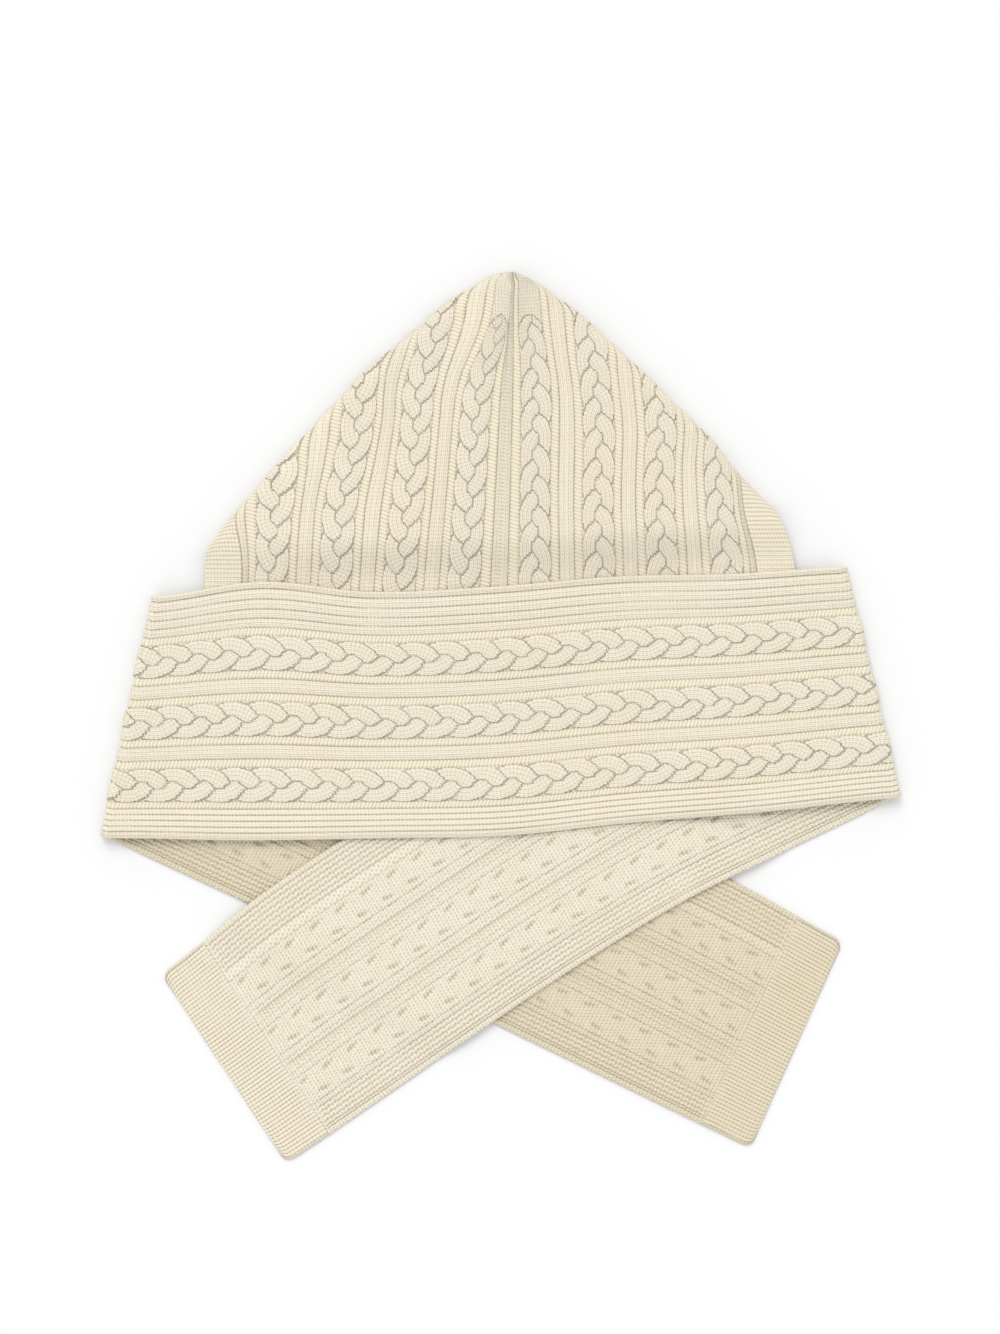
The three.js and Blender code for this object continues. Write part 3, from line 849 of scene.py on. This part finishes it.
def tailPieces(bodyName, ribName, course, rise, sign):
    split = course.length - strip["endRibLength"]
    plain = np.linspace(strip["pieceGap"], split - beforeCut[0], gridSteps["tail"] + 1)
    body = np.concatenate([plain, split - beforeCut[1:]])
    place = tailPlace(course, rise)
    pattern = tailPattern(course, sign)
    bodyPiece = stripPiece(bodyName, stripBack, body, place, pattern, 0, split)
    ribbed = np.linspace(split + afterCut[-1], course.length - strip["endRound"],
                         gridSteps["endRib"] + 1)
    end = np.concatenate([split + afterCut[:-1], ribbed, course.length - beforeEnd])
    ribPiece = stripPiece(ribName, endRibFeatures(), end, place, pattern, strip["endRound"], split)
    return bodyPiece, ribPiece


leftPiece, leftRib = tailPieces("leftTailKnit", "leftEndRibKnit", leftTail, crossingRise, 1)
rightPiece, rightRib = tailPieces("rightTailKnit", "rightEndRibKnit", rightTail,
                                  lambda x, y: 0 * x, -1)


class Socket:
    # wraps a node's output, so that maths on it adds Math nodes
    def __init__(self, tree, output):
        self.tree, self.output = tree, output

    def math(self, operation, *others, swap=False):
        values = [self, *others]
        if swap:
            values.reverse()
        return node(self.tree, "ShaderNodeMath", {"operation": operation}, dict(enumerate(values)))

    def __add__(self, other): return self.math("ADD", other)
    def __sub__(self, other): return self.math("SUBTRACT", other)
    def __mul__(self, other): return self.math("MULTIPLY", other)
    def __pow__(self, other): return self.math("POWER", other)
    def __radd__(self, other): return self.math("ADD", other)
    def __rmul__(self, other): return self.math("MULTIPLY", other)
    def __rsub__(self, other): return self.math("SUBTRACT", other, swap=True)


# adds a node: its settings first, then the values or links of its sockets
def node(tree, kind, settings=(), sockets=(), output=0):
    made = tree.nodes.new(kind)
    for name, value in dict(settings).items():
        setattr(made, name, value)
    for name, value in dict(sockets).items():
        if isinstance(value, Socket):
            tree.links.new(value.output, made.inputs[name])
        else:
            made.inputs[name].default_value = value
    return Socket(tree, made.outputs[output])


def mixColour(tree, share, first, second):
    return node(tree, "ShaderNodeMix", {"data_type": "RGBA"}, {0: share, 6: first, 7: second}, 2)


yarn = {
    "bandColour": (.83, .775, .64),
    "hoodColour": (.815, .755, .62),
    "backColour": (.865, .81, .68),
    # a darker copy of the same yarn for the right tail, which lies under the left one, and for its
    # end rib: painted shade
    "shadedUnderColour": (.76, .69, .53),
    # colour of the painted shade in creases
    "paintedCreaseShade": (.48, .42, .27),
    # colour of the painted shade in the stitch holes
    "paintedHoleShade": (.46, .39, .24),
    "warmTint": (1.0, .96, .9),
    "holeShadeStrength": 1.2,
    "holeShadeMost": .8,
    "creaseShadeStrength": .38,
    "creaseShadeMost": .85,
    "creaseRelief": .5,          # share of the stitches' relief that goes in a crease
    "fibreRelief": .15,
    "rowWobble": .5,
    "columnWobble": .2,
    "roughness": .92,
    "sheen": .25,
    "sheenRoughness": .6,
    "specular": .2,
}
# scale and detail
noises = {"wobble": (130.0, 2.0), "slow": (14.0, 3.0), "patchy": (330.0, 1.0),
          "fibre": (1500.0, 2.0)}


def knitMaterial(name, colour, side, stitchDepth):
    made = bpy.data.materials.new(name)
    made.use_nodes = True
    tree = made.node_tree
    tree.nodes.clear()
    stitches = node(tree, "ShaderNodeUVMap", {"uv_map": "stitches"})
    split = tree.nodes.new("ShaderNodeSeparateXYZ")
    tree.links.new(stitches.output, split.inputs[0])
    column, row = Socket(tree, split.outputs[0]), Socket(tree, split.outputs[1])
    place = node(tree, "ShaderNodeTexCoord", output=3)
    # the crease attribute holds the painted shade of creases, pits, grooves and the seam
    crease = node(tree, "ShaderNodeAttribute", {"attribute_name": "crease"}, output=2)
    wobble, slow, patchy, fibre = (
        node(tree, "ShaderNodeTexNoise", {}, {"Vector": place, "Scale": scale, "Detail": detail})
        for scale, detail in noises.values())
    row = row + (wobble - .5) * yarn["rowWobble"]
    column = column + (wobble - .5) * yarn["columnWobble"]
    tau = 2 * math.pi
    if side == "back":
        # purl bumps: short arcs, set off by half a stitch from row to row
        bumpRow = (row * tau).math("SINE") * .5 + .5
        offset = (row * math.pi).math("SINE").math("SIGN") * .25
        bumpColumn = ((column + offset) * tau).math("COSINE") * .5 + .5
        height = bumpRow * .55 + bumpColumn * .45
        hole = (1 - bumpRow) * (1 - bumpColumn)
    else:
        within = (column.math("FRACT") - .5).math("ABSOLUTE") * 2
        leg = (within * math.pi).math("SINE")
        ridge = ((row + within * .55) * tau).math("COSINE") * .5 + .5
        height = leg * (ridge * .5 + .5)
        hole = (within**3) * ((1 - ridge)**1.6) * 1.3
    tone = mixColour(tree, slow, (*colour, 1),
                     (*[c * w for c, w in zip(colour, yarn["warmTint"])], 1))
    # painted shade in the stitch holes, patchy
    holeShadeShare = (hole * (patchy * yarn["holeShadeStrength"] + .05)).math("MINIMUM", yarn["holeShadeMost"])
    tone = mixColour(tree, holeShadeShare, tone, (*yarn["paintedHoleShade"], 1))
    # painted shade in the creases, dotted along the rows
    dotted = (row * tau).math("COSINE") * .6 + .75
    creaseShadeShare = crease * dotted * (wobble * .7 + .65) * yarn["creaseShadeStrength"]
    creaseShadeShare = creaseShadeShare.math("MINIMUM", yarn["creaseShadeMost"])
    tone = mixColour(tree, creaseShadeShare, tone, (*yarn["paintedCreaseShade"], 1))
    relief = height * (1 - crease.math("MINIMUM", 1) * yarn["creaseRelief"])
    relief = relief + (fibre - .5) * yarn["fibreRelief"]
    bump = node(tree, "ShaderNodeBump", {},
                {"Strength": 1.0, "Distance": stitchDepth, "Height": relief})
    shader = node(tree, "ShaderNodeBsdfPrincipled", {}, {
        "Base Color": tone, "Roughness": yarn["roughness"], "Sheen Weight": yarn["sheen"],
        "Sheen Roughness": yarn["sheenRoughness"], "Specular IOR Level": yarn["specular"],
        "Normal": bump})
    end = tree.nodes.new("ShaderNodeOutputMaterial")
    tree.links.new(shader.output, end.inputs[0])
    return made


print("materials")
bandWool = knitMaterial("bandWool", yarn["bandColour"], "front", .0007)
hoodWool = knitMaterial("hoodWool", yarn["hoodColour"], "front", .0007)
backWool = knitMaterial("backWool", yarn["backColour"], "back", .0012)
shadedUnderWool = knitMaterial("shadedUnderWool", yarn["shadedUnderColour"], "back", .0012)
ribWool = knitMaterial("ribWool", yarn["bandColour"], "front", .0005)
shadedUnderRibWool = knitMaterial("shadedUnderRibWool", yarn["shadedUnderColour"], "front", .0005)
trimWool = knitMaterial("trimWool", yarn["hoodColour"], "front", .0006)

dressed = [
    (hoodPiece, "hood_panel", "cable_knit", hoodWool, (.23, .639), "laid", ["scarf_band", "floor"]),
    (trimPiece, "face_trim", "rib_knit", trimWool, (.034, .639), "laid", ["hood_panel"]),
    (bandPiece, "scarf_band", "cable_knit", bandWool, (.22, .693), "folded", ["left_tail"]),
    (leftPiece, "left_tail", "cable_knit", backWool, (.22, .629), "laid", ["right_tail"]),
    (rightPiece, "right_tail", "cable_knit", shadedUnderWool, (.22, .62), "laid", ["floor"]),
    (leftRib, "left_end_rib", "rib_knit", ribWool, (.22, .047), "laid", ["floor"]),
    (rightRib, "right_end_rib", "rib_knit", shadedUnderRibWool, (.22, .047), "laid", ["floor"]),
]
for piece, nodeName, slotName, wool, flat, held, under in dressed:
    piece.data.materials.append(wool)
    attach(piece, "root")
    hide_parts(nodeName)


studio = {
    "floorColour": (.803, .803, .8),
    "ambient": .98,
    "keyStrength": 1.1,
    "keySpread": 35.0,           # angle over which the key light is soft, in degrees
    "keyFrom": (-.9, 2.6, 3.6),
    "roomColour": (.985, .99, 1),
    "floorHalf": 4,
    "floorRoughness": .9,
    "lens": 100.0,
    "sensor": 36,
    "knitLevel": .01,            # of the knit over the floor, where the frame is measured
    "frameHeight": 1.2006,       # of the photograph's frame, at the knit
    "frameCentre": (-.00045, .0459),
}


def buildStudio():
    bm = bmesh.new()
    bmesh.ops.create_grid(bm, x_segments=1, y_segments=1, size=studio["floorHalf"])
    mesh = bpy.data.meshes.new("floor")
    bm.to_mesh(mesh)
    bm.free()
    floor = bpy.data.objects.new("floor", mesh)
    bpy.context.scene.collection.objects.link(floor)
    paper = bpy.data.materials.new("paleFloor")
    paper.use_nodes = True
    shader = paper.node_tree.nodes["Principled BSDF"]
    shader.inputs["Base Color"].default_value = (*studio["floorColour"], 1)
    shader.inputs["Roughness"].default_value = studio["floorRoughness"]
    mesh.materials.append(paper)
    world = bpy.data.worlds.new("softRoom")
    bpy.context.scene.world = world
    world.use_nodes = True
    room = world.node_tree.nodes["Background"]
    room.inputs["Color"].default_value = (*studio["roomColour"], 1)
    room.inputs["Strength"].default_value = studio["ambient"]
    key = bpy.data.lights.new("softKey", "SUN")
    key.energy = studio["keyStrength"]
    key.angle = math.radians(studio["keySpread"])
    lamp = bpy.data.objects.new("softKey", key)
    lamp.location = studio["keyFrom"]
    lamp.rotation_euler = Vector(studio["keyFrom"]).to_track_quat("Z", "Y").to_euler()
    bpy.context.scene.collection.objects.link(lamp)
    view = bpy.data.cameras.new("overhead")
    view.sensor_width = studio["sensor"]
    view.lens = studio["lens"]
    camera = bpy.data.objects.new("overhead", view)
    away = studio["frameHeight"] * studio["lens"] / studio["sensor"]
    camera.location = (*studio["frameCentre"], away + studio["knitLevel"])
    bpy.context.scene.collection.objects.link(camera)
    bpy.context.scene.camera = camera
    bpy.context.scene.view_settings.view_transform = "Standard"


print("studio")
buildStudio()

for piece, *rest in dressed:
    print(piece.name, sum(len(face.vertices) - 2 for face in piece.data.polygons), "triangles")
